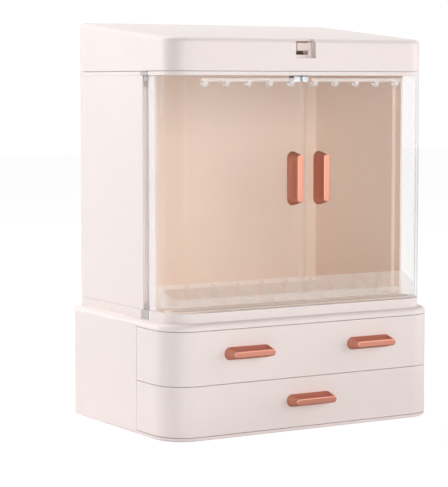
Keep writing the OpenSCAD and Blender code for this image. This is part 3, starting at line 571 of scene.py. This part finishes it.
# %% [markdown]
# ## Seam between base and cabinet
#
# The cabinet stands on the base's platform, and a thin dark line of shade shows where the two
# mouldings meet. A narrow dark grey strip lies in the groove that their rounded edges leave: painted
# shade for that line. It runs along both sides and the back, one closed bar for each.

# %% Painted shade strip in the seam
SEAM_Z = 110.5 * MM
SEAM_HALF = 0.3 * MM
WALL_X = 136.3 * MM
WALL_BACK = 92.0 * MM
BRACKET_END = -27.4 * MM
STRIP_RECESS = 0.06 * MM
STRIP_DEPTH = 0.6 * MM
WALL_CORNER = 6 * MM


def bar(grid, low, high):
    """Adds a closed box between two corners to a bmesh."""
    size = Vector(high) - Vector(low)
    place = Matrix.Translation((Vector(low) + Vector(high)) / 2) @ Matrix.Diagonal((*size, 1))
    bmesh.ops.create_cube(grid, size=1, matrix=place)


grid = bmesh.new()
outer, inner = WALL_X - STRIP_RECESS, WALL_X - STRIP_RECESS - STRIP_DEPTH
back = WALL_BACK - STRIP_RECESS
low_z, high_z = SEAM_Z - SEAM_HALF, SEAM_Z + SEAM_HALF
bar(grid, (-outer, BRACKET_END, low_z), (-inner, back - WALL_CORNER, high_z))
bar(grid, (inner, BRACKET_END, low_z), (outer, back - WALL_CORNER, high_z))
bar(grid, (-outer + WALL_CORNER, back - STRIP_DEPTH, low_z), (outer - WALL_CORNER, back, high_z))
mesh = bpy.data.meshes.new("seam_shade_strip")
grid.to_mesh(mesh)
grid.free()
mesh.materials.append(SEAM_SHADE_PAINT)
seam_strip = bpy.data.objects.new("seam_shade_strip", mesh)
scene.collection.objects.link(seam_strip)
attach(seam_strip, BODY_OF["base_shell"])
print("gasket bars 3, faces", len(mesh.polygons))

# %% [markdown]
# ## Floor and light
#
# A pale floor and a white surround show as the plain background. The surround gives the object itself
# little light, so the lamps shape it: one from the left and a little behind, two from the front, a
# weak one from the right and one from above. Their powers were fitted to the picture's brightness.
# Between the left lamp and the front ones the rounded front corner stays a little darker.

# %% Floor
FLOOR_HALF = 6.0
FLOOR_GLOW = 1.06
FLOOR_FADE = 0.9


def floor_finish():
    """Pale and matt, and mostly glowing where the camera sees it, so that a soft shadow remains."""
    material, shader, place = start_finish("pale_floor")
    feed(noise(place, 2.0).blend(srgb(250, 250, 250), srgb(248, 248, 248)), shader, "Base Color")
    shader.inputs["Roughness"].default_value = 0.9
    glow = place.node("ShaderNodeEmission", None, {"Color": (1, 1, 1, 1), "Strength": FLOOR_GLOW})
    camera_ray = place.node("ShaderNodeLightPath")
    surface = Wire(place.tree, shader.outputs[0])
    mixed = place.node("ShaderNodeMixShader", None, {0: camera_ray * FLOOR_FADE, 1: surface, 2: glow})
    output = next(n for n in place.tree.nodes if n.type == "OUTPUT_MATERIAL")
    place.tree.links.new(mixed.socket, output.inputs["Surface"])
    return material


floor_mesh = bpy.data.meshes.new("floor")
floor_mesh.from_pydata([(-FLOOR_HALF, -FLOOR_HALF, 0), (FLOOR_HALF, -FLOOR_HALF, 0),
                        (FLOOR_HALF, FLOOR_HALF, 0), (-FLOOR_HALF, FLOOR_HALF, 0)], [], [(0, 1, 2, 3)])
floor_mesh.materials.append(floor_finish())
floor_mesh.update()
floor = bpy.data.objects.new("floor", floor_mesh)
scene.collection.objects.link(floor)
print("floor", 2 * FLOOR_HALF, "m square")

# %% World
WORLD_LIGHT = 0.15
BACKDROP_WHITE = 1.02
world = bpy.data.worlds.new("studio")
world.use_nodes = True
ray = world.node_tree.nodes.new("ShaderNodeLightPath")


def seen_by(kind):
    """1 where the world is met by this kind of ray, otherwise 0."""
    return Wire(world.node_tree, ray.outputs[kind])


shows_white = seen_by("Is Camera Ray") + seen_by("Is Glossy Ray") + seen_by("Is Transmission Ray")
background = next(n for n in world.node_tree.nodes if n.type == "BACKGROUND")
background.inputs["Color"].default_value = (1, 1, 1, 1)
feed(shows_white * (BACKDROP_WHITE - WORLD_LIGHT) + WORLD_LIGHT, background, "Strength")
scene.world = world
print("world light", WORLD_LIGHT, "backdrop", BACKDROP_WHITE)

# %% Lamps
# Name, place, target, width and height in metres, and power in watts.
SOFTBOXES = [
    ("left_softbox", (-1.87, 1.85, 1.0), (0, 0, 0.2), (1.0, 1.6), 41),
    ("front_left_softbox", (-0.6, -2.4, 0.5), (0, 0, 0.15), (1.0, 1.2), 22),
    ("front_right_softbox", (1.4, -2.0, 0.7), (0, 0, 0.15), (1.4, 1.6), 11),
    ("right_softbox", (2.4, -0.8, 0.8), (0, 0, 0.2), (1.0, 1.6), 17),
    ("top_softbox", (-0.3, 0.9, 2.1), (0, 0, 0.3), (1.0, 1.0), 25),
]


def soft_lamp(name, place, target, size, power):
    """A rectangular area lamp that faces its target."""
    data = bpy.data.lights.new(name, "AREA")
    data.shape = "RECTANGLE"
    data.size, data.size_y = size
    data.energy = power
    lamp = bpy.data.objects.new(name, data)
    lamp.location = place
    lamp.rotation_euler = (Vector(target) - Vector(place)).to_track_quat("-Z", "Y").to_euler()
    scene.collection.objects.link(lamp)


for softbox in SOFTBOXES:
    soft_lamp(*softbox)
print("lamps", len(SOFTBOXES), "watts", sum(softbox[-1] for softbox in SOFTBOXES))
